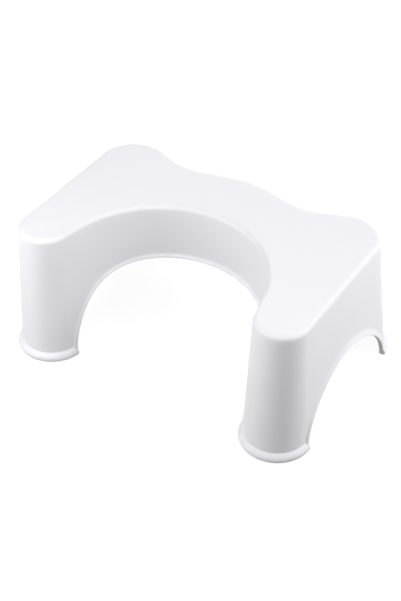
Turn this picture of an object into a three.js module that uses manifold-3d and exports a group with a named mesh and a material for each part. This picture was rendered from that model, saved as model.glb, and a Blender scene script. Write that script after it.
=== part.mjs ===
// Squatting footstool: one white injection-moulded polypropylene shell on eight soft push-in pads.
// The shell is a flat deck with a round recess in its front edge, a flared skirt that four arches
// cut into four legs, a raised lip round each arch, a rolled bead round each foot and ribs below.
// Millimetres, +Z up, +X to the right, the recess towards -Y, origin on the floor below the middle.

import * as THREE from 'three';
import { mergeVertices } from 'three/addons/utils/BufferGeometryUtils.js';
import Module from 'manifold-3d';

// Shell, measured without the pads below it
const SHELL_HEIGHT = 179;
const WALL = 3;
const DECK_THICKNESS = 3.6;
const DECK_EDGE_RADIUS = 4;
const INNER_EDGE_RADIUS = 2.5;

// Deck outline: its overall size, the radii of its round corners, where the circles of its other
// curves lie, and the straight runs between them
const DECK_WIDTH = 386.6;
const DECK_DEPTH = 243.8;
const FRONT_CORNER_RADIUS = 32.3;
const BACK_CORNER_RADIUS = 44.7;
const BACK_CORNER_INSET = 0.8;
const BACK_DIP_INWARD = 68;
const BACK_DIP_BEYOND = 58.4;
const BACK_DIP_STRAIGHT = 25.2;
const BACK_MIDDLE_INSIDE = 129.4;
const BACK_MIDDLE_STRAIGHT = 33;
const RECESS_CENTRE_INSIDE = 27.2;
const RECESS_STRAIGHT = 27;

// How far the outline spreads from the deck down to the floor
const SKIRT_SPREAD = 7.7;
const FRONT_CORNER_OUT = 0.4;
const FRONT_CORNER_FORWARD = 2.4;
const BACK_CORNER_OUT = 3.5;
const BACK_CORNER_BACKWARD = 19.6;
const BACK_DIP_OUT = 3.3;
const BACK_DIP_BACKWARD = 4.4;
const RECESS_BACKWARD = 4.4;

// Arches: half their run along the wall, their height, and the two powers of their superellipse
const FRONT_ARCH_HALF_RUN = 195;
const FRONT_ARCH_HEIGHT = 104.2;
const FRONT_ARCH_POWERS = [4.2, 1.9];
const SIDE_ARCH_HALF_RUN = 95.9;
const SIDE_ARCH_HEIGHT = 80;
const SIDE_ARCH_POWERS = [1.86, 1.82];
const SIDE_ARCH_BACKWARD = 4.5;
const BACK_ARCH_HALF_RUN = 114;
const BACK_ARCH_HEIGHT = 92;
const BACK_ARCH_POWERS = [2.6, 1.9];

// Lip round each arch and bead round each foot
const LIP_REACH = 2;
const LIP_FACE = 6;
const LIP_FLARE = 2;
const BEAD_REACH = 4.5;
const BEAD_FACE = 2.5;
const BEAD_HEIGHT = 11.5;

// Ribs below the deck
const RIB_THICKNESS = 2;
const RIB_DEPTH = 12;
const RIB_PITCH = 42;

// Soft pads pressed into the foot rims, two on each leg
const PAD_LENGTH = 30;
const PAD_WIDTH = 4.6;
const PAD_THICKNESS = 2;
const PAD_PROUD = 1;
const PAD_PLACE_SHARES = [0.24, 0.76];
const PEG_PITCH = 18;
const PEG_RADIUS = 1.3;
const PEG_LENGTH = 5;
const PEG_BARB = 0.15;
const PEG_BARB_SHARE = 0.6;
const PEG_TIP_SHARE = 0.6;
const CLEARANCE = 0.3;

// Fineness of the faces, and one overrun for every cut
const LARGEST_TURN = THREE.MathUtils.degToRad(11);
const LARGEST_CHORD = 14;
const SKIRT_STEPS = 3;
const EDGE_STEPS = 3;
const ARCH_STEPS = 34;
const TRACE_STEPS = 400;
const PAD_STEPS = 22;
const PEG_SIDES = 8;
const OVERRUN = 2;

const LARGEST_REACH = Math.max(BEAD_REACH, LIP_REACH);
const QUARTER_TURN = Math.PI / 2;
const FULL_TURN = Math.PI * 2;

const wasm = await Module();
wasm.setup();

// Sum of the radii of two circles that bend opposite ways, joined by a straight run of this length
function radiiAcross(one, other, straight) {
  return Math.sqrt((one.x - other.x) ** 2 + (one.y - other.y) ** 2 - straight ** 2);
}

// The skirt's outline at a height: eight circles, anticlockwise from the recess. A positive radius
// bulges outwards and a negative one is hollow.
function outlineCircles(height) {
  const spread = 1 - height / SHELL_HEIGHT;
  const frontCorner = {
    x: DECK_WIDTH / 2 - FRONT_CORNER_RADIUS + spread * FRONT_CORNER_OUT,
    y: FRONT_CORNER_RADIUS - DECK_DEPTH / 2 - spread * FRONT_CORNER_FORWARD,
    radius: FRONT_CORNER_RADIUS + spread * SKIRT_SPREAD,
  };
  const backCornerX = DECK_WIDTH / 2 - BACK_CORNER_INSET - BACK_CORNER_RADIUS;
  const backCorner = {
    x: backCornerX + spread * BACK_CORNER_OUT,
    y: DECK_DEPTH / 2 - BACK_CORNER_RADIUS + spread * BACK_CORNER_BACKWARD,
    radius: BACK_CORNER_RADIUS + spread * SKIRT_SPREAD,
  };
  const backDip = {
    x: backCornerX - BACK_DIP_INWARD + spread * BACK_DIP_OUT,
    y: DECK_DEPTH / 2 + BACK_DIP_BEYOND + spread * BACK_DIP_BACKWARD,
  };
  backDip.radius = backCorner.radius - radiiAcross(backCorner, backDip, BACK_DIP_STRAIGHT);
  const backMiddle = { x: 0, y: DECK_DEPTH / 2 - BACK_MIDDLE_INSIDE };
  backMiddle.radius = radiiAcross(backDip, backMiddle, BACK_MIDDLE_STRAIGHT) + backDip.radius;
  const recess = { x: 0, y: RECESS_CENTRE_INSIDE - DECK_DEPTH / 2 + spread * RECESS_BACKWARD };
  recess.radius = frontCorner.radius - radiiAcross(recess, frontCorner, RECESS_STRAIGHT);
  const mirrored = [backDip, backCorner, frontCorner].map((circle) => ({ ...circle, x: -circle.x }));
  return [recess, frontCorner, backCorner, backDip, backMiddle, ...mirrored];
}

// Direction of the outward normal on the straight run from one circle to the next
function sharedNormal(circle, next) {
  const along = Math.atan2(next.y - circle.y, next.x - circle.x);
  const gap = Math.hypot(next.x - circle.x, next.y - circle.y);
  return along - Math.acos((circle.radius - next.radius) / gap);
}

// The arcs of the outline, each a circle with the normal that it starts from and its turn
function outlineArcs(height) {
  const circles = outlineCircles(height);
  return circles.map((circle, at) => {
    const from = sharedNormal(circles.at(at - 1), circle);
    const to = sharedNormal(circle, circles[(at + 1) % circles.length]);
    const turn = THREE.MathUtils.euclideanModulo(to - from, FULL_TURN);
    return { circle, from, turn: circle.radius > 0 ? turn : turn - FULL_TURN };
  });
}

// A point of the outline, out from the wall's outer face, where the outward normal has this angle
function arcPoint({ x, y, radius }, angle, out) {
  return new THREE.Vector2(Math.cos(angle), Math.sin(angle)).multiplyScalar(radius + out).add({ x, y });
}

const ARC_STEPS = outlineArcs(0).map(({ circle, turn }) => {
  const length = Math.abs(circle.radius * turn);
  return Math.ceil(Math.max(Math.abs(turn) / LARGEST_TURN, length / LARGEST_CHORD));
});

// The whole outline at a height as a closed ring of points
function outlineRing(height, out) {
  return outlineArcs(height).flatMap(({ circle, from, turn }, at) => {
    const shares = Array.from({ length: ARC_STEPS[at] + 1 }, (_, step) => step / ARC_STEPS[at]);
    return shares.map((share) => {
      const { x, y } = arcPoint(circle, from + share * turn, out);
      return new THREE.Vector3(x, y, height);
    });
  });
}

// The right half of the outline, from the middle of the recess to the middle of the back, as
// stretches with their length along the wall's outer face and a point at a share of it
function rightHalf(height) {
  const [recess, frontCorner, backCorner, backDip, backMiddle] = outlineArcs(height);
  const arc = ({ circle, from, turn }) => ({
    length: Math.abs(circle.radius * turn),
    at: (share, out) => arcPoint(circle, from + share * turn, out),
  });
  const straight = (arcBefore, arcAfter) => {
    const ends = (out) => [arcBefore, arcAfter].map(({ circle }) => arcPoint(circle, arcAfter.from, out));
    const [start, end] = ends(0);
    const at = (share, out) => ends(out)[0].lerp(ends(out)[1], share);
    return { length: start.distanceTo(end), at };
  };
  const recessHalf = { ...recess, from: recess.from + recess.turn / 2, turn: recess.turn / 2 };
  const middleHalf = { ...backMiddle, turn: backMiddle.turn / 2 };
  return [
    arc(recessHalf),
    straight(recess, frontCorner),
    arc(frontCorner),
    straight(frontCorner, backCorner),
    arc(backCorner),
    straight(backCorner, backDip),
    arc(backDip),
    straight(backDip, backMiddle),
    arc(middleHalf),
  ];
}

const lengthOf = (stretches) => stretches.reduce((sum, { length }) => sum + length, 0);

// Runs from the middle of the recess to the middle of each arch
const FRONT = () => 0;
const SIDE = (stretches) => lengthOf(stretches.slice(0, 3)) + stretches[3].length / 2 + SIDE_ARCH_BACKWARD;
const BACK = (stretches) => lengthOf(stretches);

// A point on the wall: its run from an arch's middle, its height, and how far it lies out from the
// wall's outer face
function wallPoint(middle, run, height, out) {
  const stretches = rightHalf(height);
  const total = lengthOf(stretches);
  const whole = middle(stretches) + run;
  const onLeft = whole < 0 || whole > total;
  let rest = whole > total ? 2 * total - whole : Math.abs(whole);
  let place = 0;
  while (place + 1 < stretches.length && rest > stretches[place].length) {
    rest -= stretches[place].length;
    place += 1;
  }
  const { x, y } = stretches[place].at(rest / stretches[place].length, out);
  return new THREE.Vector3(onLeft ? -x : x, y, height);
}

// Faces across a ring, found in the plane that it fits best, turning the way the ring turns
function capFaces(ring) {
  const normal = new THREE.Vector3();
  ring.forEach((point, at) => normal.add(point.clone().cross(ring[(at + 1) % ring.length])));
  const upright = new THREE.Quaternion().setFromUnitVectors(normal.normalize(), new THREE.Vector3(0, 0, 1));
  const flat = ring.map((point) => point.clone().applyQuaternion(upright));
  return THREE.ShapeUtils.triangulateShape(flat.map(({ x, y }) => new THREE.Vector2(x, y)), []);
}

// A closed body through a stack of rings that have the same number of points
function loft(rings) {
  const count = rings[0].length;
  const coordinates = rings.flat().flatMap((point) => point.toArray());
  const index = [];
  for (let level = 0; level + 1 < rings.length; level++) {
    for (let at = 0; at < count; at++) {
      const here = level * count + at;
      const next = level * count + (at + 1) % count;
      index.push(here, next, next + count, here, next + count, here + count);
    }
  }
  const last = (rings.length - 1) * count;
  for (const [a, b, c] of capFaces(rings[0])) index.push(c, b, a);
  for (const [a, b, c] of capFaces(rings.at(-1))) index.push(last + a, last + b, last + c);
  const geometry = new THREE.BufferGeometry();
  geometry.setAttribute('position', new THREE.Float32BufferAttribute(coordinates, 3));
  geometry.setIndex(index);
  return geometry;
}

// The solid inside a closed geometry, turned right side out where its faces point inwards
function solid(geometry) {
  const bare = geometry.clone();
  bare.deleteAttribute('normal');
  bare.deleteAttribute('uv');
  const { attributes, index } = mergeVertices(bare);
  const triVerts = Uint32Array.from(index.array);
  const corner = (at) => new THREE.Vector3().fromBufferAttribute(attributes.position, triVerts[at]);
  let volume = 0;
  for (let at = 0; at < triVerts.length; at += 3) {
    volume += corner(at).dot(corner(at + 1).cross(corner(at + 2)));
  }
  if (volume < 0) triVerts.reverse();
  const vertProperties = attributes.position.array;
  return new wasm.Manifold(new wasm.Mesh({ numProp: 3, vertProperties, triVerts }));
}

const joined = (geometries) => geometries.map(solid).reduce((sum, next) => sum.add(next));

// These geometries and their mirror images on the left
const bothSides = (geometries) => [...geometries, ...geometries.map((one) => one.clone().scale(-1, 1, 1))];

// The outside of the skirt and deck, with the deck's rounded edge
function outerBody() {
  const skirtTop = SHELL_HEIGHT - DECK_EDGE_RADIUS;
  const rings = [];
  for (let step = 0; step <= SKIRT_STEPS; step++) {
    rings.push(outlineRing(skirtTop * step / SKIRT_STEPS, 0));
  }
  for (let step = 1; step <= EDGE_STEPS; step++) {
    const angle = QUARTER_TURN * step / EDGE_STEPS;
    const height = skirtTop + DECK_EDGE_RADIUS * Math.sin(angle);
    rings.push(outlineRing(height, DECK_EDGE_RADIUS * (Math.cos(angle) - 1)));
  }
  return loft(rings);
}

// The hollow below the deck
function hollow() {
  const ceiling = SHELL_HEIGHT - DECK_THICKNESS;
  const wallTop = ceiling - INNER_EDGE_RADIUS;
  const rings = [outlineRing(-OVERRUN, -WALL)];
  for (let step = 0; step <= SKIRT_STEPS; step++) {
    rings.push(outlineRing(wallTop * step / SKIRT_STEPS, -WALL));
  }
  for (let step = 1; step <= EDGE_STEPS; step++) {
    const angle = QUARTER_TURN * step / EDGE_STEPS;
    const height = wallTop + INNER_EDGE_RADIUS * Math.sin(angle);
    rings.push(outlineRing(height, INNER_EDGE_RADIUS * (Math.cos(angle) - 1) - WALL));
  }
  return loft(rings);
}

// The rolled bead at the foot of the wall, before the arches cut it
function footBead() {
  const rings = [outlineRing(0, BEAD_REACH)];
  for (let step = 0; step < EDGE_STEPS; step++) {
    const angle = QUARTER_TURN * step / EDGE_STEPS;
    const height = BEAD_FACE + (BEAD_HEIGHT - BEAD_FACE) * Math.sin(angle);
    rings.push(outlineRing(height, BEAD_REACH * Math.cos(angle)));
  }
  rings.push(outlineRing(BEAD_HEIGHT, -WALL / 2));
  return loft(rings);
}

// An arch's edge as evenly spaced points of run and height, from one foot to the other
function archEdge(halfRun, height, [runPower, heightPower]) {
  const traced = [];
  for (let step = 0; step <= TRACE_STEPS; step++) {
    const angle = Math.PI * step / TRACE_STEPS;
    const runShare = Math.sign(Math.cos(angle)) * Math.abs(Math.cos(angle)) ** (2 / runPower);
    const heightShare = Math.abs(Math.sin(angle)) ** (2 / heightPower);
    traced.push(new THREE.Vector2(halfRun * runShare, height * heightShare));
  }
  traced[TRACE_STEPS].y = 0;
  return new THREE.Path(traced).getSpacedPoints(ARCH_STEPS);
}

// The block that cuts an arch through the wall
function archOpening(middle, edge) {
  const inside = -WALL - OVERRUN;
  const outside = LARGEST_REACH + OVERRUN;
  return loft(edge.map(({ x: run, y: height }) => [
    wallPoint(middle, run, height, inside),
    wallPoint(middle, run, height, outside),
    wallPoint(middle, run, -OVERRUN, outside),
    wallPoint(middle, run, -OVERRUN, inside),
  ]));
}

// Section of the lip: distance from the arch's edge, and reach out from the wall
function lipSection() {
  const points = [[-OVERRUN, -WALL / 2], [-OVERRUN, LIP_REACH]];
  for (let step = 0; step <= EDGE_STEPS; step++) {
    const angle = QUARTER_TURN * step / EDGE_STEPS;
    points.push([LIP_FACE + LIP_FLARE * (1 - Math.cos(angle)), LIP_REACH * (1 - Math.sin(angle))]);
  }
  points.push([LIP_FACE + LIP_FLARE, -WALL / 2]);
  return points;
}

// The raised lip that follows an arch's edge, run on below the floor at both feet
function archLip(middle, edge) {
  const start = edge[0].clone().setY(-OVERRUN);
  const end = edge.at(-1).clone().setY(-OVERRUN);
  const route = [start, ...edge, end];
  return loft(route.map((point, at) => {
    const before = route[Math.max(at - 1, 0)];
    const after = route[Math.min(at + 1, route.length - 1)];
    const away = after.clone().sub(before).normalize().rotateAround({ x: 0, y: 0 }, -QUARTER_TURN);
    return lipSection().map(([distance, out]) => {
      const { x: run, y: height } = away.clone().multiplyScalar(distance).add(point);
      return wallPoint(middle, run, height, out);
    });
  }));
}

// Crossed ribs below the deck, ended inside the skirt
function deckRibs() {
  const ceiling = SHELL_HEIGHT - DECK_THICKNESS;
  const reach = Math.max(...outlineRing(SHELL_HEIGHT, 0).flatMap(({ x, y }) => [x, Math.abs(y)]));
  const count = Math.floor(reach / RIB_PITCH);
  const depth = RIB_DEPTH + DECK_THICKNESS / 2;
  const ribs = [];
  for (let at = -count; at <= count; at++) {
    const across = new THREE.BoxGeometry(RIB_THICKNESS, 2 * reach, depth);
    const along = new THREE.BoxGeometry(2 * reach, RIB_THICKNESS, depth);
    ribs.push(across.translate(at * RIB_PITCH, 0, ceiling - RIB_DEPTH + depth / 2));
    ribs.push(along.translate(0, at * RIB_PITCH, ceiling - RIB_DEPTH + depth / 2));
  }
  const limits = [ceiling - RIB_DEPTH - OVERRUN, ceiling + DECK_THICKNESS / 2];
  const within = solid(loft(limits.map((height) => outlineRing(height, -WALL / 2))));
  return joined(ribs).intersect(within);
}

const RIM_MIDDLE = (BEAD_REACH - WALL) / 2;

// Runs from the middle of the recess to the pads of the right legs
function padRuns() {
  const stretches = rightHalf(0);
  const legs = [
    [FRONT_ARCH_HALF_RUN, SIDE(stretches) - SIDE_ARCH_HALF_RUN],
    [SIDE(stretches) + SIDE_ARCH_HALF_RUN, BACK(stretches) - BACK_ARCH_HALF_RUN],
  ];
  return legs.map(([from, to]) => PAD_PLACE_SHARES.map((share) => THREE.MathUtils.lerp(from, to, share)));
}

// A round-ended block that bends with the foot rim, grown all round where it is a pocket
function rimBlock(run, grown, floor, ceiling) {
  const radius = PAD_WIDTH / 2 + grown;
  const bend = (PAD_LENGTH - PAD_WIDTH) / 2;
  const outline = new THREE.Path();
  outline.absarc(bend, 0, radius, -QUARTER_TURN, QUARTER_TURN);
  outline.absarc(-bend, 0, radius, QUARTER_TURN, QUARTER_TURN + Math.PI);
  outline.closePath();
  const rim = outline.getSpacedPoints(PAD_STEPS).slice(0, -1);
  const ring = (height) => rim.map(({ x, y }) => wallPoint(FRONT, run + x, 0, RIM_MIDDLE + y).setZ(height));
  return loft([ring(floor), ring(ceiling)]);
}

// Places of a pad's two pegs on the rim
const pegPlaces = (run) => [-1, 1].map((side) => wallPoint(FRONT, run + side * PEG_PITCH / 2, 0, RIM_MIDDLE));

const PAD_TOP = PAD_THICKNESS - PAD_PROUD;

// A pad and its two barbed pegs
function footPad(run) {
  const root = PAD_TOP - PAD_THICKNESS / 2;
  const barbHeight = PAD_TOP + PEG_LENGTH * PEG_BARB_SHARE;
  const profile = [
    new THREE.Vector2(0, root),
    new THREE.Vector2(PEG_RADIUS, root),
    new THREE.Vector2(PEG_RADIUS, barbHeight),
    new THREE.Vector2(PEG_RADIUS + PEG_BARB, barbHeight),
    new THREE.Vector2(PEG_RADIUS * PEG_TIP_SHARE, PAD_TOP + PEG_LENGTH),
    new THREE.Vector2(0, PAD_TOP + PEG_LENGTH),
  ];
  const peg = new THREE.LatheGeometry(profile, PEG_SIDES).rotateX(QUARTER_TURN);
  const pegs = pegPlaces(run).map(({ x, y }) => peg.clone().translate(x, y, 0));
  return [rimBlock(run, 0, -PAD_PROUD, PAD_TOP), ...pegs];
}

// The pocket and the two holes that a pad sits in
function padSeat(run) {
  const pocketTop = PAD_TOP + CLEARANCE;
  const depth = pocketTop + PEG_LENGTH + OVERRUN;
  const hole = new THREE.CylinderGeometry(PEG_RADIUS + CLEARANCE, PEG_RADIUS + CLEARANCE, depth, PEG_SIDES);
  hole.rotateX(QUARTER_TURN).translate(0, 0, depth / 2 - OVERRUN);
  const holes = pegPlaces(run).map(({ x, y }) => hole.clone().translate(x, y, 0));
  return [rimBlock(run, CLEARANCE, -OVERRUN, pocketTop), ...holes];
}

// The whole moulded shell
function stoolShell() {
  const frontEdge = archEdge(FRONT_ARCH_HALF_RUN, FRONT_ARCH_HEIGHT, FRONT_ARCH_POWERS);
  const sideEdge = archEdge(SIDE_ARCH_HALF_RUN, SIDE_ARCH_HEIGHT, SIDE_ARCH_POWERS);
  const backEdge = archEdge(BACK_ARCH_HALF_RUN, BACK_ARCH_HEIGHT, BACK_ARCH_POWERS);
  const lips = [
    archLip(FRONT, frontEdge),
    archLip(BACK, backEdge),
    ...bothSides([archLip(SIDE, sideEdge)]),
  ];
  const openings = [
    archOpening(FRONT, frontEdge),
    archOpening(BACK, backEdge),
    ...bothSides([archOpening(SIDE, sideEdge)]),
  ];
  const seats = bothSides(padRuns().flat().flatMap(padSeat));
  const belowFloor = loft([-2 * OVERRUN, 0].map((height) => outlineRing(height, LARGEST_REACH + OVERRUN)));
  const skin = joined([outerBody(), footBead(), ...lips]).subtract(solid(hollow()));
  return skin.add(deckRibs()).subtract(joined([belowFloor, ...openings, ...seats]));
}

// A named mesh of a solid
function mesh(name, body, material) {
  const { numProp, vertProperties, triVerts } = body.getMesh();
  const geometry = new THREE.BufferGeometry();
  geometry.setAttribute('position', new THREE.BufferAttribute(vertProperties, numProp));
  geometry.setIndex(new THREE.BufferAttribute(triVerts, 1));
  geometry.computeVertexNormals();
  const made = new THREE.Mesh(geometry, material);
  made.name = name;
  return made;
}

const plastic = (color, roughness) => new THREE.MeshStandardMaterial({ color, roughness, metalness: 0 });
const whitePolypropylene = plastic('#f3f3f6', 0.45);
const greyElastomer = plastic('#c6c6c8', 0.85);

const stool = new THREE.Group();
stool.add(mesh('stool_shell', stoolShell(), whitePolypropylene));
const padNames = [['front_inner', 'front_outer'], ['back_outer', 'back_inner']];
padRuns().forEach((runs, leg) => runs.forEach((run, place) => {
  const pad = footPad(run);
  const [right, left] = [pad, bothSides(pad).slice(pad.length)].map(joined);
  stool.add(mesh(`foot_pad_${padNames[leg][place]}_right`, right, greyElastomer.clone()));
  stool.add(mesh(`foot_pad_${padNames[leg][place]}_left`, left, greyElastomer.clone()));
}));

// Stand it on its pads, with the middle of the floor outline over the origin
const footprint = outlineRing(0, BEAD_REACH).map(({ y }) => y);
stool.position.set(0, -(Math.min(...footprint) + Math.max(...footprint)) / 2, PAD_PROUD);

export default stool;
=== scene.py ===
import math
from functools import lru_cache

import bmesh
import bpy
from mathutils import Matrix, Vector


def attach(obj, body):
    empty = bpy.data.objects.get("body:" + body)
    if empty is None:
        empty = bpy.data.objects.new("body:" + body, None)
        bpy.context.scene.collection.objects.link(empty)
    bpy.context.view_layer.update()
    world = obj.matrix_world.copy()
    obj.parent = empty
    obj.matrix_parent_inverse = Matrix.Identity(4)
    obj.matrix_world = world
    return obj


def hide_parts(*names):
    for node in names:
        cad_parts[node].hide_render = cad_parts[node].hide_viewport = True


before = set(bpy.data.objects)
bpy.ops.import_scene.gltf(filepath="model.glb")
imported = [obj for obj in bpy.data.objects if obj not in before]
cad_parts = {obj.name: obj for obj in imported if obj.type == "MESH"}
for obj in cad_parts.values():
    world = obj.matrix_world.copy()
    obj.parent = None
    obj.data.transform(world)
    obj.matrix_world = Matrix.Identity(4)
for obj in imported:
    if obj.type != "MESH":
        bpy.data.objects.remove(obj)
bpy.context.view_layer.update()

# All sizes are in millimetres, and MM turns them to the scene's metres
MM = 0.001
# Points nearer to each other than this are one point
MERGE = 0.001
# Faces that meet at more than this look sharp
SHARP_ANGLE = math.radians(50)
# Faces that meet at more than this make a corner that a bevel rounds
CORNER_ANGLE = math.radians(60)

# The shell stands on its pads, which lift it off the floor
DECK_TOP = 180.0
PAD_PROUD = 1.0
SHELL_HEIGHT = DECK_TOP - PAD_PROUD
WALL = 3.0
DECK_THICKNESS = 3.6
DECK_EDGE_RADIUS = 6.0
INNER_EDGE_RADIUS = 2.5
# From the middle of the deck's depth to the middle of the whole stool's
CENTRE_SHIFT_Y = -8.6

# The outline at deck level: corners, the dips beside the back's middle, and the recess
DECK_WIDTH = 386.6
DECK_DEPTH = 243.8
FRONT_CORNER_RADIUS = 32.3
BACK_CORNER_RADIUS = 44.7
BACK_CORNER_INSET = 0.8
BACK_DIP_INWARD = 68.0
BACK_DIP_BEYOND = 58.4
BACK_DIP_STRAIGHT = 25.2
BACK_MIDDLE_INSIDE = 129.4
BACK_MIDDLE_STRAIGHT = 33.0
RECESS_CENTRE_INSIDE = 27.2
RECESS_STRAIGHT = 27.0

# How far the skirt's corners grow and move from deck level to the floor
SKIRT_SPREAD = 7.7
FRONT_CORNER_OUT = 0.4
FRONT_CORNER_FORWARD = 2.4
BACK_CORNER_OUT = 3.5
BACK_CORNER_BACKWARD = 19.6
BACK_DIP_OUT = 3.3
BACK_DIP_BACKWARD = 4.4
RECESS_BACKWARD = 4.4

# Each arch on the laid-out wall: half its run at the floor, its height, and the powers along
# the run and the height that square its curve
FRONT_ARCH = (195.0, 104.2, 4.2, 1.9)
SIDE_ARCH = (95.9, 80.0, 1.86, 1.82)
BACK_ARCH = (114.0, 92.0, 2.6, 1.9)
SIDE_ARCH_BACKWARD = 4.5

LIP_REACH = 2.5
LIP_WIDTH = 8.0
# A lip's flat face beside the arch's edge, and the power by which its flare rises to that
FRONT_LIP = (1.8, 3.0)
SIDE_LIP = (1.0, 1.1)
# Beside the feet, a groove sets each lip off from the wall: (distance from the edge, reach)
FOOT_LIP = ((2.6, 2.5), (4.2, 2.3), (5.1, 0.3), (6.0, -1.3), (6.6, -1.5), (7.2, -1.1), (8.0, 0.0))
# From the first height to the second, the groove fades into the plain flare
FOOT_LIP_HEIGHTS = (12.0, 62.0)

# The bead round the foot: its height, its fullest reach and the height of that, its reach at
# the floor, and the power of its upper curve
BEAD_HEIGHT = 11.5
BEAD_FULLEST = 4.7
BEAD_FULLEST_HEIGHT = 4.0
BEAD_FOOT = 4.1
BEAD_POWER = 1.5
EDGE_ROUND = 0.6

RIB_THICKNESS = 2.0
RIB_DEPTH = 12.0
RIB_PITCH = 42.0
EJECTOR_RADIUS = 4.0
EJECTOR_DEPTH = 0.25
# Cells of the rib grid, counted from the middle, that an ejector pin of the mould marks
EJECTOR_CELLS = ((3.5, -1.5), (3.5, -0.5), (3.5, 0.5), (3.5, 1.5),
                 (2.5, 0.5), (2.5, 1.5), (1.5, 1.5), (0.5, 1.5))

PAD_LENGTH = 30.0
PAD_WIDTH = 4.6
PAD_TOP = 1.0
# Where a leg's two pads sit, as shares of the leg's run along the floor
PAD_PLACE_SHARES = (0.24, 0.76)
PAD_EDGE_ROUND = 0.5
PAD_TREAD_PITCH = 1.6
PAD_TREAD_MARGIN = 0.5
PAD_TREAD_DEPTH = 0.35
PEG_PITCH = 18.0
PEG_RADIUS = 1.3
PEG_LENGTH = 5.0
PEG_BARB = 0.15
PEG_BARB_SHARE = 0.6
PEG_TIP_SHARE = 0.6
# Room that a seat leaves round its pad
CLEARANCE = 0.3
# How far a cutting shape runs past what it cuts
OVERRUN = 2.0
# The line along the rim that the pads follow, out from the wall's outer face
RIM_MIDDLE = 0.75

# Spacing of the faces along arches, curves and straight runs, and the lines that cut them
ARCH_STEP = 2.4
CURVE_STEP = 3.0
STRAIGHT_STEP = 6.0
LIP_LINES = (0.07, 0.28, 0.6, 1.0, 1.4, 1.8, 2.1, 2.6,
             3.2, 3.6, 4.2, 5.1, 6.0, 6.6, 7.2, 8.0)
BEAD_LINES = (0.07, 0.28, 0.6, 1.3, 2.2, 3.1, 4.0, 4.9, 5.9,
              6.9, 7.9, 8.9, 9.9, 10.8, 11.5, 11.7, 12.8)
WALL_LINES = (18, 26, 36, 48, 60, 72, 84, 96, 108, 120, 132, 144, 156, 166)
# Points this near to a cut lie on it, and points of the laid-out wall this near are joined
CUT_REACH = 0.0001
PATTERN_MERGE = 0.03
# The band of the deck's faces beside its rounded edge
FACE_MARGIN = 1.5
# Steps of each curve: an arch's edge before it is spaced out evenly, the deck's rounded edge,
# an ejector mark, a pad's end and its rounded lower edge, and a peg
TRACE_STEPS = 1200
EDGE_STEPS = 6
MARK_STEPS = 40
PAD_END_STEPS = 10
PAD_EDGE_STEPS = 3
PEG_STEPS = 20
# A face looks down where the Z of its normal is below this
LOOKS_DOWN = -0.99


# The outline of the skirt, at any height above the pads. Its right half has five of the eight
# arcs, and its fourth stretch is the stool's straight side.
HALF_ARCS = 5
SIDE_STRETCH = 3


def tangent_sum(one, other, straight):
    """Sum of the radii of two circles that bend opposite ways, with a straight run between."""
    across, along = one[0] - other[0], one[1] - other[1]
    return math.sqrt(across ** 2 + along ** 2 - straight ** 2)


def outline_circles(height):
    """The eight circles (x, y, radius) of the outline, anticlockwise from the recess."""
    spread = 1 - height / SHELL_HEIGHT
    front_radius = FRONT_CORNER_RADIUS + spread * SKIRT_SPREAD
    back_radius = BACK_CORNER_RADIUS + spread * SKIRT_SPREAD
    front = (DECK_WIDTH / 2 - FRONT_CORNER_RADIUS + spread * FRONT_CORNER_OUT,
             FRONT_CORNER_RADIUS - DECK_DEPTH / 2 - spread * FRONT_CORNER_FORWARD)
    back_x = DECK_WIDTH / 2 - BACK_CORNER_INSET - BACK_CORNER_RADIUS
    back = (back_x + spread * BACK_CORNER_OUT,
            DECK_DEPTH / 2 - BACK_CORNER_RADIUS + spread * BACK_CORNER_BACKWARD)
    dip = (back_x - BACK_DIP_INWARD + spread * BACK_DIP_OUT,
           DECK_DEPTH / 2 + BACK_DIP_BEYOND + spread * BACK_DIP_BACKWARD)
    dip_radius = back_radius - tangent_sum(back, dip, BACK_DIP_STRAIGHT)
    middle = (0.0, DECK_DEPTH / 2 - BACK_MIDDLE_INSIDE)
    middle_radius = tangent_sum(dip, middle, BACK_MIDDLE_STRAIGHT) + dip_radius
    recess = (0.0, RECESS_CENTRE_INSIDE - DECK_DEPTH / 2 + spread * RECESS_BACKWARD)
    recess_radius = front_radius - tangent_sum(recess, front, RECESS_STRAIGHT)
    right = [(*front, front_radius), (*back, back_radius), (*dip, dip_radius)]
    left = [(-x, y, radius) for x, y, radius in reversed(right)]
    return [(*recess, recess_radius), *right, (*middle, middle_radius), *left]


def shared_normal(circle, following):
    """Angle of the outward normal on the straight run from one circle to the next."""
    across, along = following[0] - circle[0], following[1] - circle[1]
    turn = math.acos((circle[2] - following[2]) / math.hypot(across, along))
    return math.atan2(along, across) - turn


def outline_arcs(height):
    """Each circle with the normal that its arc starts from and the arc's turn."""
    circles = outline_circles(height)
    arcs = []
    for at, circle in enumerate(circles):
        start = shared_normal(circles[at - 1], circle)
        turn = (shared_normal(circle, circles[(at + 1) % len(circles)]) - start) % math.tau
        arcs.append((circle, start, turn if circle[2] > 0 else turn - math.tau))
    return arcs


def arc_point(circle, angle, out):
    x, y, radius = circle
    return Vector((x + math.cos(angle) * (radius + out), y + math.sin(angle) * (radius + out)))


@lru_cache(maxsize=None)
def right_half(height):
    """Stretches from the middle of the recess to the middle of the back: (length, shape).
    Arcs and straight runs take turns, and the first and last are arcs."""
    arcs = outline_arcs(height)[:HALF_ARCS]
    # The outline's other half has the rest of the recess's arc and of the back's
    circle, start, turn = arcs[0]
    arcs[0] = (circle, start + turn / 2, turn / 2)
    circle, start, turn = arcs[-1]
    arcs[-1] = (circle, start, turn / 2)
    stretches = []
    for at, (circle, start, turn) in enumerate(arcs):
        if at:
            before = arcs[at - 1][0]
            length = (arc_point(circle, start, 0) - arc_point(before, start, 0)).length
            stretches.append((length, (before, circle, start)))
        stretches.append((abs(circle[2] * turn), (circle, start, turn)))
    return stretches


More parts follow.
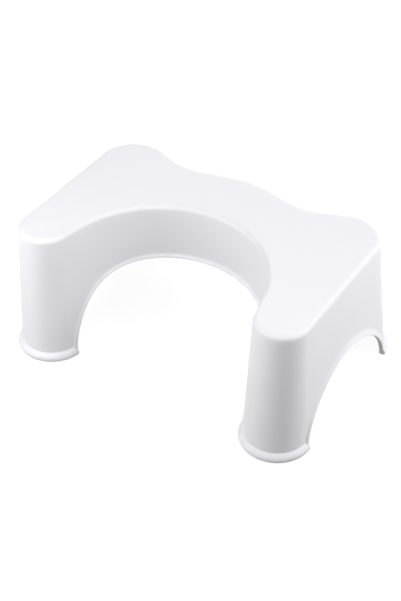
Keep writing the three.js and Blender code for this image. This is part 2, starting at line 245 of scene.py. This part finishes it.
def stretch_point(height, place, share, out):
    """A point of the right half at a height, out from the wall's outer face."""
    shape = right_half(height)[place][1]
    if place % 2:
        before, after, angle = shape
        return arc_point(before, angle, out).lerp(arc_point(after, angle, out), share)
    circle, start, turn = shape
    return arc_point(circle, start + share * turn, out)


def total_run(height):
    return sum(length for length, _ in right_half(height))


def side_middle(height):
    """The run to the middle of the side arch."""
    lengths = [length for length, _ in right_half(height)]
    before, side = lengths[:SIDE_STRETCH], lengths[SIDE_STRETCH]
    return sum(before) + side / 2 + SIDE_ARCH_BACKWARD


def place_of(run, height):
    """The stretch that holds this run, and the share of it."""
    stretches = right_half(height)
    place = 0
    while place + 1 < len(stretches) and run > stretches[place][0]:
        run -= stretches[place][0]
        place += 1
    return place, run / stretches[place][0]


def flat_run(run, height):
    """The run on the laid-out wall, measured at floor level, for a run at a height."""
    place, share = place_of(run, height)
    lengths = [length for length, _ in right_half(0.0)]
    return sum(lengths[:place]) + share * lengths[place]


def wall_point(flat, height, out):
    """The point of the wall, in metres, for a place on the laid-out wall."""
    place, share = place_of(abs(flat), 0.0)
    point = stretch_point(height, place, share, out)
    x = -point.x if flat < 0 else point.x
    return Vector((x, point.y + CENTRE_SHIFT_Y, height + PAD_PROUD)) * MM


# The moulded shell: its wall is laid out flat, cut out, thickened and bent round

def clamped(value):
    return min(max(value, 0.0), 1.0)


def arch_edge(arch):
    """An arch's edge from its right foot to its left foot, as evenly spaced (run, height)."""
    half_run, top, run_power, height_power = arch
    traced = []
    for step in range(TRACE_STEPS + 1):
        angle = math.pi * step / TRACE_STEPS
        cosine, sine = math.cos(angle), max(math.sin(angle), 0.0)
        run = math.copysign(abs(cosine) ** (2 / run_power), cosine) * half_run
        traced.append(Vector((run, top * sine ** (2 / height_power))))
    traced[-1].y = 0.0
    lengths = [0.0]
    for one, following in zip(traced, traced[1:]):
        lengths.append(lengths[-1] + (following - one).length)
    count = 2 * round(lengths[-1] / ARCH_STEP / 2)
    points, at = [], 0
    for step in range(count + 1):
        wanted = lengths[-1] * step / count
        while at + 2 < len(lengths) and lengths[at + 1] < wanted:
            at += 1
        share = (wanted - lengths[at]) / (lengths[at + 1] - lengths[at])
        points.append(traced[at].lerp(traced[at + 1], share))
    return points


def away_from(points, at):
    """Direction in the wall, away from the arch, at one point of its edge."""
    if at in (0, len(points) - 1):
        return Vector((1.0 if at == 0 else -1.0, 0.0))
    tangent = points[at + 1] - points[at - 1]
    return Vector((tangent.y, -tangent.x)).normalized()


def flare_out(distance, lip):
    """How far a lip's plain flare stands out, at a distance from the arch's edge."""
    face, power = lip
    return LIP_REACH * (1 - clamped((distance - face) / (LIP_WIDTH - face))) ** power


def groove_out(distance):
    """How far a lip with its groove stands out, at a distance from the arch's edge."""
    before = FOOT_LIP[0]
    for point in FOOT_LIP:
        if distance <= point[0]:
            share = max(distance - before[0], 0.0) / max(point[0] - before[0], MERGE)
            return before[1] + share * (point[1] - before[1])
        before = point
    return before[1]


def lip_reach(distance, height, lip):
    """How far a lip stands out of the wall, with its groove where it comes near the feet."""
    low, high = FOOT_LIP_HEIGHTS
    share = clamped((height - low) / (high - low))
    above = share * share * (3 - 2 * share)
    return above * flare_out(distance, lip) + (1 - above) * groove_out(distance)


def lip_band(pattern, arch, lip, middle, keep):
    """Adds the faces beside an arch's edge to the laid-out wall and returns their outer line."""
    distance = pattern.verts.layers.float["arch_distance"]
    proud = pattern.verts.layers.float["lip_out"]
    points = arch_edge(arch)
    ways = [away_from(points, at) for at in range(len(points))]
    half, end = len(points) // 2, len(points) - 1
    ways[half] = Vector((0.0, 1.0))
    points[half].x = 0.0
    first, last = {"right": (0, half), "left": (half, end), "all": (0, end)}[keep]

    def placed(at, reach):
        local = points[at] + ways[at] * reach
        height = max(local.y, 0.0)
        run = middle(height) + local.x
        flat = flat_run(min(max(run, 0.0), total_run(height)), height)
        return Vector((flat, height, 0.0))

    line = []
    for at in range(first, last + 1):
        vert = pattern.verts.new(placed(at, 0.0))
        vert[proud] = LIP_REACH
        line.append(vert)
    edges = [pattern.edges.new(pair) for pair in zip(line, line[1:])]
    for reach in LIP_LINES:
        grown = bmesh.ops.extrude_edge_only(pattern, edges=edges)["geom"]
        edges = [item for item in grown if isinstance(item, bmesh.types.BMEdge)]
        new = {item for item in grown if isinstance(item, bmesh.types.BMVert)}
        following = []
        for at, vert in zip(range(first, last + 1), line):
            others = (edge.other_vert(vert) for edge in vert.link_edges)
            above = next(other for other in others if other in new)
            above.co = placed(at, reach)
            above[distance] = reach
            above[proud] = lip_reach(reach, above.co.y, lip)
            following.append(above)
        line = following
    return line


def joined_line(pattern, verts):
    """Edges through these vertices, made where they are missing."""
    edges = []
    for pair in zip(verts, verts[1:]):
        edges.append(pattern.edges.get(pair) or pattern.edges.new(pair))
    return edges


def cut(pattern, place, normal):
    bmesh.ops.bisect_plane(pattern, geom=[*pattern.verts, *pattern.edges, *pattern.faces],
                           dist=CUT_REACH, plane_co=place, plane_no=normal)


def flat_pattern():
    """The right half of the wall laid flat, X its run at the floor and Y its height."""
    pattern = bmesh.new()
    distance = pattern.verts.layers.float.new("arch_distance")
    for layer in ("lip_out", "run", "face_side"):
        pattern.verts.layers.float.new(layer)
    top = SHELL_HEIGHT - DECK_EDGE_RADIUS
    total = total_run(0.0)
    front = lip_band(pattern, FRONT_ARCH, FRONT_LIP, lambda height: 0.0, "right")
    side = lip_band(pattern, SIDE_ARCH, SIDE_LIP, side_middle, "all")
    back = lip_band(pattern, BACK_ARCH, FRONT_LIP, total_run, "left")
    corners = [pattern.verts.new((0.0, top, 0.0)), pattern.verts.new((total, top, 0.0))]
    for vert in corners:
        vert[distance] = LIP_WIDTH
    around = [corners[0], *front[::-1], *side[::-1], *back[::-1], corners[1], corners[0]]
    bmesh.ops.edgeloop_fill(pattern, edges=joined_line(pattern, around))
    run = 0.0
    for place, (length, _) in enumerate(right_half(0.0)):
        step = STRAIGHT_STEP if place % 2 else CURVE_STEP
        count = math.ceil(length / step)
        for at in range(count):
            if run + at > 0:
                cut(pattern, (run + length * at / count, 0.0, 0.0), (1.0, 0.0, 0.0))
        run += length
    for height in (*BEAD_LINES, *WALL_LINES):
        cut(pattern, (0.0, height, 0.0), (0.0, 1.0, 0.0))
    bmesh.ops.remove_doubles(pattern, verts=pattern.verts, dist=PATTERN_MERGE)
    return pattern


def bead_out(height):
    """How far the bead stands out of the wall: undercut below its fullest, curved in above."""
    below = 1 - height / BEAD_FULLEST_HEIGHT
    if below > 0:
        return BEAD_FULLEST + (BEAD_FOOT - BEAD_FULLEST) * below ** 2
    share = clamped((height - BEAD_FULLEST_HEIGHT) / (BEAD_HEIGHT - BEAD_FULLEST_HEIGHT))
    return BEAD_FULLEST * (1 - share ** BEAD_POWER)


def edge_drop(distance, height):
    """How far the surface falls back where it rounds over into an edge."""
    across = max(EDGE_ROUND - distance, 0.0)
    above = max(EDGE_ROUND - height, 0.0)
    return EDGE_ROUND - math.sqrt(max(EDGE_ROUND ** 2 - across ** 2 - above ** 2, 0.0))


def outer_reach(distance, proud, height):
    return max(proud, bead_out(height)) - edge_drop(distance, height)


def inner_reach(distance, height):
    return edge_drop(distance, height) - WALL


def rounded_levels(start, radius, wall):
    """Heights and offsets that roll a wall over into a flat face and step on to that face."""
    levels = []
    for step in range(1, EDGE_STEPS + 1):
        angle = math.pi / 2 * step / EDGE_STEPS
        out = wall + radius * (math.cos(angle) - 1)
        levels.append((start + radius * math.sin(angle), out))
    levels.append((start + radius, wall - radius - FACE_MARGIN))
    return levels


def close_deck(shell, run, edges, levels):
    """Rolls the wall's top edge over into the deck and closes it with one flat face."""
    for height, out in levels:
        grown = bmesh.ops.extrude_edge_only(shell, edges=edges)["geom"]
        edges = [item for item in grown if isinstance(item, bmesh.types.BMEdge)]
        for vert in grown:
            if isinstance(vert, bmesh.types.BMVert):
                vert.co = wall_point(vert[run], height, out)
    bmesh.ops.edgeloop_fill(shell, edges=edges)


def middle_height(verts):
    """The Z halfway between the two layers of a thickened flat shape."""
    layers = [vert.co.z for vert in verts]
    return (min(layers) + max(layers)) / 2


def stool_shell():
    shell = flat_pattern()
    distance, proud, run, face_side = (
        shell.verts.layers.float[name]
        for name in ("arch_distance", "lip_out", "run", "face_side"))
    bmesh.ops.mirror(shell, geom=[*shell.verts, *shell.edges, *shell.faces], axis="X",
                     merge_dist=MERGE)
    bmesh.ops.recalc_face_normals(shell, faces=shell.faces)
    bmesh.ops.solidify(shell, geom=list(shell.faces), thickness=WALL)

    top = SHELL_HEIGHT - DECK_EDGE_RADIUS
    inner_top = SHELL_HEIGHT - DECK_THICKNESS - INNER_EDGE_RADIUS
    total = total_run(0.0)

    # The edge faces go where the deck and the wall's two ends will meet them
    def at_end(face):
        at_top = all(vert.co.y > top - MERGE for vert in face.verts)
        return at_top or all(abs(vert.co.x) > total - MERGE for vert in face.verts)

    ends = [face for face in shell.faces if at_end(face)]
    bmesh.ops.delete(shell, geom=ends, context="FACES")
    middle = middle_height(shell.verts)
    for vert in shell.verts:
        vert[run], height, layer = vert.co
        vert[face_side] = 1.0 if layer > middle else -1.0
        if layer > middle:
            out = outer_reach(vert[distance], vert[proud], height)
        else:
            out = inner_reach(vert[distance], height)
            height = min(height, inner_top)
        vert.co = wall_point(vert[run], height, out)
    bmesh.ops.remove_doubles(shell, verts=shell.verts, dist=MERGE * MM)
    open_edges = [edge for edge in shell.edges if edge.is_boundary]
    outside, inside = (
        [edge for edge in open_edges if all(vert[face_side] * side > 0 for vert in edge.verts)]
        for side in (1, -1))
    close_deck(shell, run, outside, rounded_levels(top, DECK_EDGE_RADIUS, 0.0))
    close_deck(shell, run, inside, rounded_levels(inner_top, INNER_EDGE_RADIUS, -WALL))
    bmesh.ops.recalc_face_normals(shell, faces=shell.faces)
    return shell


def mesh_of(shape, name="shape"):
    """A mesh of a finished shape, which is used up."""
    mesh = bpy.data.meshes.new(name)
    shape.to_mesh(mesh)
    shape.free()
    return mesh


def placed_object(data, name="shape"):
    """An object in the scene for a mesh, lamp or camera."""
    made = bpy.data.objects.new(name, data)
    bpy.context.scene.collection.objects.link(made)
    return made


def combined(first, second, operation):
    """One shape from two, joined, cut or kept where they overlap."""
    whole, other = (placed_object(mesh_of(shape)) for shape in (first, second))
    change = whole.modifiers.new("combined", "BOOLEAN")
    change.operation = operation
    change.solver = "EXACT"
    change.object = other
    shape = bmesh.new()
    shape.from_object(whole, bpy.context.evaluated_depsgraph_get())
    for mesh in (whole.data, other.data):
        bpy.data.meshes.remove(mesh)
    return shape


def within_wall(low, high):
    """A block up to the middle of the wall's thickness, between two heights."""
    total = total_run(0.0)
    count = 2 * math.ceil(total / CURVE_STEP)
    runs = [total * (2 * at / count - 1) for at in range(count)]
    block = bmesh.new()
    ends = []
    for height in (low, high):
        verts = [block.verts.new(wall_point(run, height, -WALL / 2)) for run in runs]
        edges = [block.edges.new(pair) for pair in zip(verts, verts[1:] + verts[:1])]
        bmesh.ops.edgeloop_fill(block, edges=edges)
        ends += edges
    bmesh.ops.bridge_loops(block, edges=ends)
    bmesh.ops.recalc_face_normals(block, faces=block.faces)
    return block


def thickened(shape, low, high):
    """Gives a flat shape its thickness, from one height to another."""
    bmesh.ops.solidify(shape, geom=list(shape.faces), thickness=high - low)
    middle = middle_height(shape.verts)
    for vert in shape.verts:
        vert.co.z = high if vert.co.z > middle else low
    bmesh.ops.recalc_face_normals(shape, faces=shape.faces)


def rib_grid():
    """Crossed ribs below the deck that end inside the wall."""
    ceiling = SHELL_HEIGHT - DECK_THICKNESS
    tip, root = ceiling - RIB_DEPTH, ceiling + DECK_THICKNESS / 2
    reach = DECK_WIDTH / 2
    count = math.floor(reach / RIB_PITCH)
    grid = bmesh.new()
    bmesh.ops.create_grid(grid, x_segments=1, y_segments=1, size=reach)
    for at in range(-count, count + 1):
        for side in (-1, 1):
            place = at * RIB_PITCH + side * RIB_THICKNESS / 2
            cut(grid, (place, 0.0, 0.0), (1.0, 0.0, 0.0))
            cut(grid, (0.0, place, 0.0), (0.0, 1.0, 0.0))

    def in_rib(place):
        return abs(place - round(place / RIB_PITCH) * RIB_PITCH) < RIB_THICKNESS / 2

    cells = [face for face in grid.faces
             if not any(in_rib(place) for place in face.calc_center_median().xy)]
    bmesh.ops.delete(grid, geom=cells, context="FACES")
    thickened(grid, tip, root)
    for vert in grid.verts:
        x, y, height = vert.co
        vert.co = Vector((x, y + CENTRE_SHIFT_Y, height + PAD_PROUD)) * MM
    room = within_wall(tip - OVERRUN, (root + SHELL_HEIGHT) / 2)
    return combined(grid, room, "INTERSECT")


def ejector_marks():
    """The round, slightly sunk marks that the mould's ejector pins leave below the deck."""
    ceiling = SHELL_HEIGHT - DECK_THICKNESS + PAD_PROUD
    radius = EJECTOR_RADIUS * MM
    marks = bmesh.new()
    for across, along in EJECTOR_CELLS:
        for side in (-1, 1):
            x, y = side * across * RIB_PITCH, along * RIB_PITCH + CENTRE_SHIFT_Y
            place = Matrix.Translation(Vector((x, y, ceiling)) * MM)
            bmesh.ops.create_cone(marks, cap_ends=True, segments=MARK_STEPS, radius1=radius,
                                  radius2=radius, depth=2 * EJECTOR_DEPTH * MM, matrix=place)
    return marks


# The pads, and their seats in the rim that stands on the floor

def pad_runs():
    """Runs along the rim to the four pads of the right half."""
    side = side_middle(0.0)
    legs = ((FRONT_ARCH[0], side - SIDE_ARCH[0]),
            (side + SIDE_ARCH[0], total_run(0.0) - BACK_ARCH[0]))
    return [start + share * (end - start) for start, end in legs for share in PAD_PLACE_SHARES]


def round_ended(width, low, high):
    """A straight bar with round ends, cut across for its tread and its bend."""
    bar = bmesh.new()
    centre = (PAD_LENGTH - PAD_WIDTH) / 2
    start = bar.verts.new((centre, -width / 2, 0.0))
    bmesh.ops.spin(bar, geom=[start], cent=(centre, 0.0, 0.0), axis=(0.0, 0.0, 1.0),
                   angle=math.pi, steps=PAD_END_STEPS, use_merge=False)
    bmesh.ops.mirror(bar, geom=[*bar.verts, *bar.edges], axis="X", merge_dist=MERGE)
    for side in (-1, 1):
        bar.edges.new([vert for vert in bar.verts if abs(vert.co.y - side * width / 2) < MERGE])
    bmesh.ops.edgeloop_fill(bar, edges=bar.edges)
    count = math.floor(centre / PAD_TREAD_PITCH)
    for at in range(-count, count + 1):
        cut(bar, (at * PAD_TREAD_PITCH, 0.0, 0.0), (1.0, 0.0, 0.0))
    thickened(bar, low, high)
    return bar


def on_rim(shape, run, side):
    """Bends a straight shape along the rim, at a run to the right or the left."""
    for vert in shape.verts:
        x, y, height = vert.co
        vert.co = wall_point(side * (run + x), 0.0, RIM_MIDDLE + y)
        vert.co.z = (height + PAD_PROUD) * MM
    bmesh.ops.recalc_face_normals(shape, faces=shape.faces)
    return shape


def pegs(profile, run, side):
    """Two turned pegs above a pad, from points of radius and height."""
    both = bmesh.new()
    for place in (-1, 1):
        middle = wall_point(side * (run + place * PEG_PITCH / 2), 0.0, RIM_MIDDLE)
        line = [both.verts.new((middle.x + radius * MM, middle.y, (height + PAD_PROUD) * MM))
                for radius, height in profile]
        edges = [both.edges.new(pair) for pair in zip(line, line[1:])]
        bmesh.ops.spin(both, geom=[*line, *edges], cent=middle, axis=(0.0, 0.0, 1.0),
                       angle=math.tau, steps=PEG_STEPS, use_merge=True)
    bmesh.ops.remove_doubles(both, verts=both.verts, dist=MERGE * MM)
    bmesh.ops.recalc_face_normals(both, faces=both.faces)
    return both


def foot_pad(run, side):
    """A pad with a rounded lower edge and a cross-cut tread, on its two barbed pegs."""
    pad = round_ended(PAD_WIDTH, -PAD_PROUD, PAD_TOP)
    rim = [edge for edge in pad.edges
           if all(vert.co.z < 0 for vert in edge.verts) and edge.calc_face_angle() > CORNER_ANGLE]
    bmesh.ops.bevel(pad, geom=rim, offset=PAD_EDGE_ROUND, segments=PAD_EDGE_STEPS, profile=0.5,
                    affect="EDGES", material=-1)
    below = [face for face in pad.faces if face.normal.z < LOOKS_DOWN]
    bmesh.ops.inset_region(pad, faces=below, thickness=PAD_TREAD_MARGIN, depth=0.0)

    def is_bar(face):
        place = face.calc_center_median().x / PAD_TREAD_PITCH - 0.5
        return len(face.verts) == 4 and round(place) % 2 == 0

    bmesh.ops.inset_individual(pad, faces=[face for face in below if is_bar(face)],
                               thickness=PAD_TREAD_DEPTH / 2, depth=-PAD_TREAD_DEPTH)
    root, top = PAD_TOP / 2, PAD_TOP + PEG_LENGTH
    barb = PAD_TOP + PEG_LENGTH * PEG_BARB_SHARE
    profile = ((0.0, root), (PEG_RADIUS, root), (PEG_RADIUS, barb),
               (PEG_RADIUS + PEG_BARB, barb), (PEG_RADIUS * PEG_TIP_SHARE, top), (0.0, top))
    return combined(on_rim(pad, run, side), pegs(profile, run, side), "UNION")


def pad_seat(run, side):
    """The pocket and the two holes in the rim that a pad sits in."""
    pocket_top = PAD_TOP + CLEARANCE
    radius = PEG_RADIUS + CLEARANCE
    root, top = PAD_TOP / 2, pocket_top + PEG_LENGTH
    profile = ((0.0, root), (radius, root), (radius, top), (0.0, top))
    pocket = on_rim(round_ended(PAD_WIDTH + 2 * CLEARANCE, -OVERRUN, pocket_top), run, side)
    return combined(pocket, pegs(profile, run, side), "UNION")


def with_underside(shell):
    """The shell with its ribs, its pads' seats and the marks of its mould."""
    shell = combined(shell, rib_grid(), "UNION")
    cuts = ejector_marks()
    for run in pad_runs():
        for side in (-1, 1):
            seat = mesh_of(pad_seat(run, side))
            cuts.from_mesh(seat)
            bpy.data.meshes.remove(seat)
    return combined(shell, cuts, "DIFFERENCE")


def piece(name, shape, material, node):
    """A finished piece of the stool, which takes the place of one node of the frame."""
    mesh = mesh_of(shape, name)
    mesh.shade_smooth()
    mesh.set_sharp_from_angle(angle=SHARP_ANGLE)
    made = placed_object(mesh, name)
    made.data.materials.append(material)
    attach(made, "root")
    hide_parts(node)


# White polypropylene, injection-moulded in a fine spark-eroded mould: a smooth, satin surface
# that is bright without a gloss, faintly cool, with soft wide highlights on its rounded edges.
# Flow marks some 110 mm across shift its colour and sheen a little. The mould's own grain is
# about 0.2 mm and too fine to show, so it is drawn twelve times as coarse.
PP_COLOURS = ("#F3F2F7", "#F6F5F9")
PP_ROUGHNESS = (0.47, 0.54)
PP_IOR = 1.49
PP_FLOW_SIZE = 110.0
PP_GRAIN_SIZE = 2.4
PP_GRAIN_DEPTH = 0.06
PP_GRAIN_STRENGTH = 0.25

# Grey thermoplastic rubber, moulded in a blasted mould: dull and dry, with no highlight, so
# that the pads read as soft beside the shell. Its grain of about 0.1 mm is drawn as coarse as
# 1.1 mm.
RUBBER_COLOURS = ("#BFBFC2", "#CBCBCE")
RUBBER_ROUGHNESS = 0.82
RUBBER_IOR = 1.5
RUBBER_GRAIN_SIZE = 1.1
RUBBER_GRAIN_DEPTH = 0.2
RUBBER_GRAIN_STRENGTH = 0.5

# Matt white studio paper, smooth and without a sheen, so that nothing on it draws the eye from
# the stool. Lamp light meets it as a mid grey. The camera sees it lit on top of a glow that
# rises to plain white away from the stool, and so it keeps the stool's soft shadow.
PAPER_LIT = "#898989"
PAPER_SEEN = "#8A8A8A"
PAPER_GLOW = 0.90
# Distances from the stool's middle, in metres, between which the glow rises to one
SHADOW_REACH = (0.2, 0.7)

WHITE = "#FFFFFF"


def linear(colour):
    """An sRGB hex colour as linear red, green, blue and alpha."""
    values = [int(colour[at:at + 2], 16) / 255 for at in (1, 3, 5)]
    return (*(v / 12.92 if v <= 0.04045 else ((v + 0.055) / 1.055) ** 2.4 for v in values), 1.0)


def per_metre(size):
    """A noise texture's scale for blotches of a size in millimetres."""
    return 1 / (size * MM)


def add_node(tree, kind, settings=None, **inputs):
    """A node with its settings. An input goes by its name, or by _ and its number, and takes
    a value or another node's output."""
    made = tree.nodes.new(kind)
    for name, value in (settings or {}).items():
        setattr(made, name, value)
    for name, value in inputs.items():
        number = name[1:]
        socket = made.inputs[int(number) if number.isdigit() else name.replace("_", " ")]
        if isinstance(value, bpy.types.NodeSocket):
            tree.links.new(value, socket)
        else:
            socket.default_value = value
    return made


def new_material(name):
    material = bpy.data.materials.new(name)
    material.use_nodes = True
    material.node_tree.nodes.clear()
    return material


def moulded_polypropylene():
    material = new_material("polypropylene_moulded_white")
    tree = material.node_tree
    place = add_node(tree, "ShaderNodeTexCoord").outputs["Object"]
    grain = add_node(tree, "ShaderNodeTexNoise", Vector=place, Scale=per_metre(PP_GRAIN_SIZE),
                     Detail=3.0, Roughness=0.6)
    flow = add_node(tree, "ShaderNodeTexNoise", Vector=place, Scale=per_metre(PP_FLOW_SIZE),
                    Detail=2.0, Roughness=0.45)
    colour = add_node(tree, "ShaderNodeMix", {"data_type": "RGBA"}, _0=flow.outputs["Fac"],
                      _6=linear(PP_COLOURS[0]), _7=linear(PP_COLOURS[1]))
    sheen = add_node(tree, "ShaderNodeMapRange", Value=flow.outputs["Fac"],
                     To_Min=PP_ROUGHNESS[0], To_Max=PP_ROUGHNESS[1])
    bump = add_node(tree, "ShaderNodeBump", Strength=PP_GRAIN_STRENGTH,
                    Distance=PP_GRAIN_DEPTH * MM, Height=grain.outputs["Fac"])
    shader = add_node(tree, "ShaderNodeBsdfPrincipled", Base_Color=colour.outputs[2],
                      Roughness=sheen.outputs["Result"], IOR=PP_IOR,
                      Normal=bump.outputs["Normal"])
    add_node(tree, "ShaderNodeOutputMaterial", Surface=shader.outputs["BSDF"])
    return material


def moulded_rubber():
    material = new_material("TPR_rubber_moulded_grey")
    tree = material.node_tree
    place = add_node(tree, "ShaderNodeTexCoord").outputs["Object"]
    grain = add_node(tree, "ShaderNodeTexNoise", Vector=place,
                     Scale=per_metre(RUBBER_GRAIN_SIZE), Detail=2.0, Roughness=0.6)
    colour = add_node(tree, "ShaderNodeMix", {"data_type": "RGBA"}, _0=grain.outputs["Fac"],
                      _6=linear(RUBBER_COLOURS[0]), _7=linear(RUBBER_COLOURS[1]))
    bump = add_node(tree, "ShaderNodeBump", Strength=RUBBER_GRAIN_STRENGTH,
                    Distance=RUBBER_GRAIN_DEPTH * MM, Height=grain.outputs["Fac"])
    shader = add_node(tree, "ShaderNodeBsdfPrincipled", Base_Color=colour.outputs[2],
                      Roughness=RUBBER_ROUGHNESS, IOR=RUBBER_IOR,
                      Normal=bump.outputs["Normal"])
    add_node(tree, "ShaderNodeOutputMaterial", Surface=shader.outputs["BSDF"])
    return material


def seen_white(tree):
    """One where a camera, glossy or transmitted ray asks, and nought where lamp light does."""
    path = add_node(tree, "ShaderNodeLightPath")
    either = add_node(tree, "ShaderNodeMath", {"operation": "MAXIMUM"},
                      _0=path.outputs["Is Camera Ray"], _1=path.outputs["Is Glossy Ray"])
    seen = add_node(tree, "ShaderNodeMath", {"operation": "MAXIMUM"},
                    _0=either.outputs[0], _1=path.outputs["Is Transmission Ray"])
    return seen.outputs[0]


def studio_paper():
    material = new_material("studio_paper_matt_white")
    tree = material.node_tree
    lit = add_node(tree, "ShaderNodeBsdfDiffuse", Color=linear(PAPER_LIT))
    shaded = add_node(tree, "ShaderNodeBsdfDiffuse", Color=linear(PAPER_SEEN))
    place = add_node(tree, "ShaderNodeTexCoord").outputs["Object"]
    from_stool = add_node(tree, "ShaderNodeVectorMath", {"operation": "LENGTH"}, _0=place)
    strength = add_node(tree, "ShaderNodeMapRange", {"interpolation_type": "SMOOTHSTEP"},
                        Value=from_stool.outputs["Value"], From_Min=SHADOW_REACH[0],
                        From_Max=SHADOW_REACH[1], To_Min=PAPER_GLOW, To_Max=1.0)
    glow = add_node(tree, "ShaderNodeEmission", Color=linear(WHITE),
                    Strength=strength.outputs["Result"])
    shown = add_node(tree, "ShaderNodeAddShader", _0=shaded.outputs[0], _1=glow.outputs[0])
    above = add_node(tree, "ShaderNodeMixShader", _0=seen_white(tree), _1=lit.outputs[0],
                     _2=shown.outputs[0])
    # From below, the paper lets the stool's underside show
    below = add_node(tree, "ShaderNodeNewGeometry").outputs["Backfacing"]
    clear = add_node(tree, "ShaderNodeBsdfTransparent")
    one_sided = add_node(tree, "ShaderNodeMixShader", _0=below, _1=above.outputs[0],
                         _2=clear.outputs[0])
    add_node(tree, "ShaderNodeOutputMaterial", Surface=one_sided.outputs[0])
    return material


# The studio, in metres
FLOOR_REACH = 6.0
LAMP_AIM = Vector((0.0, 0.0, 0.09))
# Each lamp's azimuth from the front and height angle in degrees, its distance, its width and
# depth, and its power in watts
LAMPS = (
    ("lamp_right_back", 120, 40, 1.6, 0.8, 0.8, 12.02),
    ("lamp_back_left", 210, 15, 1.6, 0.8, 0.6, 9.56),
    ("lamp_right", 90, 40, 1.6, 0.8, 0.8, 4.50),
    ("lamp_front_right_wide", 45, 45, 1.6, 2.4, 2.4, 3.91),
    ("lamp_left_low", 300, 15, 1.6, 0.8, 0.6, 3.20),
    ("lamp_front_left_near", 315, 45, 0.8, 0.4, 0.4, 1.61),
    ("lamp_front_left_floor", 330, 10, 0.8, 0.4, 0.2, 1.20),
    ("lamp_front_near", 0, 45, 0.8, 0.4, 0.4, 0.92),
    ("lamp_right_back_floor", 120, 10, 0.8, 0.4, 0.2, 0.77),
    ("lamp_left_high", 300, 40, 1.6, 0.8, 0.8, 0.54),
    ("lamp_front_floor", 0, 10, 0.8, 0.4, 0.2, 0.53),
    ("lamp_front_right_near", 45, 45, 0.8, 0.4, 0.4, 0.34),
)
CAMERA_PLACE = Vector((0.6597, -1.06627, 1.1113))
CAMERA_AIM = Vector((0.0, -0.01251, 0.09))
# The lens and the sensor's width in millimetres, and the shift that frames the stool
CAMERA_LENS = 78.91
CAMERA_SENSOR = 36.0
CAMERA_SHIFT = (0.0027, -0.0175)


def turned_to(way):
    """The rotation that makes a lamp or camera look along a direction."""
    return way.to_track_quat("-Z", "Y").to_euler()


def soft_lamp(name, azimuth, elevation, distance, width, depth, power):
    """A soft box that looks at the stool and that the camera doesn't see."""
    turn, rise = math.radians(azimuth), math.radians(elevation)
    way = Vector((math.sin(turn) * math.cos(rise), -math.cos(turn) * math.cos(rise),
                  math.sin(rise)))
    data = bpy.data.lights.new(name, "AREA")
    data.shape = "RECTANGLE"
    data.size = width
    data.size_y = depth
    data.energy = power
    lamp = placed_object(data, name)
    lamp.location = LAMP_AIM + way * distance
    lamp.rotation_euler = turned_to(-way)
    lamp.visible_camera = False


def studio_air():
    """Air that is white to the camera and in reflections. All other light is the lamps'."""
    world = bpy.data.worlds.new("studio_air")
    bpy.context.scene.world = world
    world.use_nodes = True
    tree = world.node_tree
    tree.nodes.clear()
    air = add_node(tree, "ShaderNodeBackground", Color=linear(WHITE), Strength=seen_white(tree))
    add_node(tree, "ShaderNodeOutputWorld", Surface=air.outputs[0])


def studio_floor():
    shape = bmesh.new()
    bmesh.ops.create_grid(shape, x_segments=1, y_segments=1, size=FLOOR_REACH)
    floor = placed_object(mesh_of(shape, "floor"), "floor")
    floor.data.materials.append(studio_paper())


def camera():
    data = bpy.data.cameras.new("camera")
    data.sensor_width = CAMERA_SENSOR
    data.lens = CAMERA_LENS
    data.shift_x, data.shift_y = CAMERA_SHIFT
    data.dof.use_dof = False
    seen = placed_object(data, "camera")
    seen.location = CAMERA_PLACE
    seen.rotation_euler = turned_to(CAMERA_AIM - CAMERA_PLACE)
    bpy.context.scene.camera = seen


polypropylene = moulded_polypropylene()
rubber = moulded_rubber()
piece("shell", with_underside(stool_shell()), polypropylene, "stool_shell")
for place, run in zip(("front_inner", "front_outer", "back_outer", "back_inner"), pad_runs()):
    for side, hand in ((1, "right"), (-1, "left")):
        piece(f"pad_{place}_{hand}", foot_pad(run, side), rubber, f"foot_pad_{place}_{hand}")

studio_air()
studio_floor()
for lamp in LAMPS:
    soft_lamp(*lamp)
camera()
bpy.context.scene.view_settings.view_transform = "Standard"
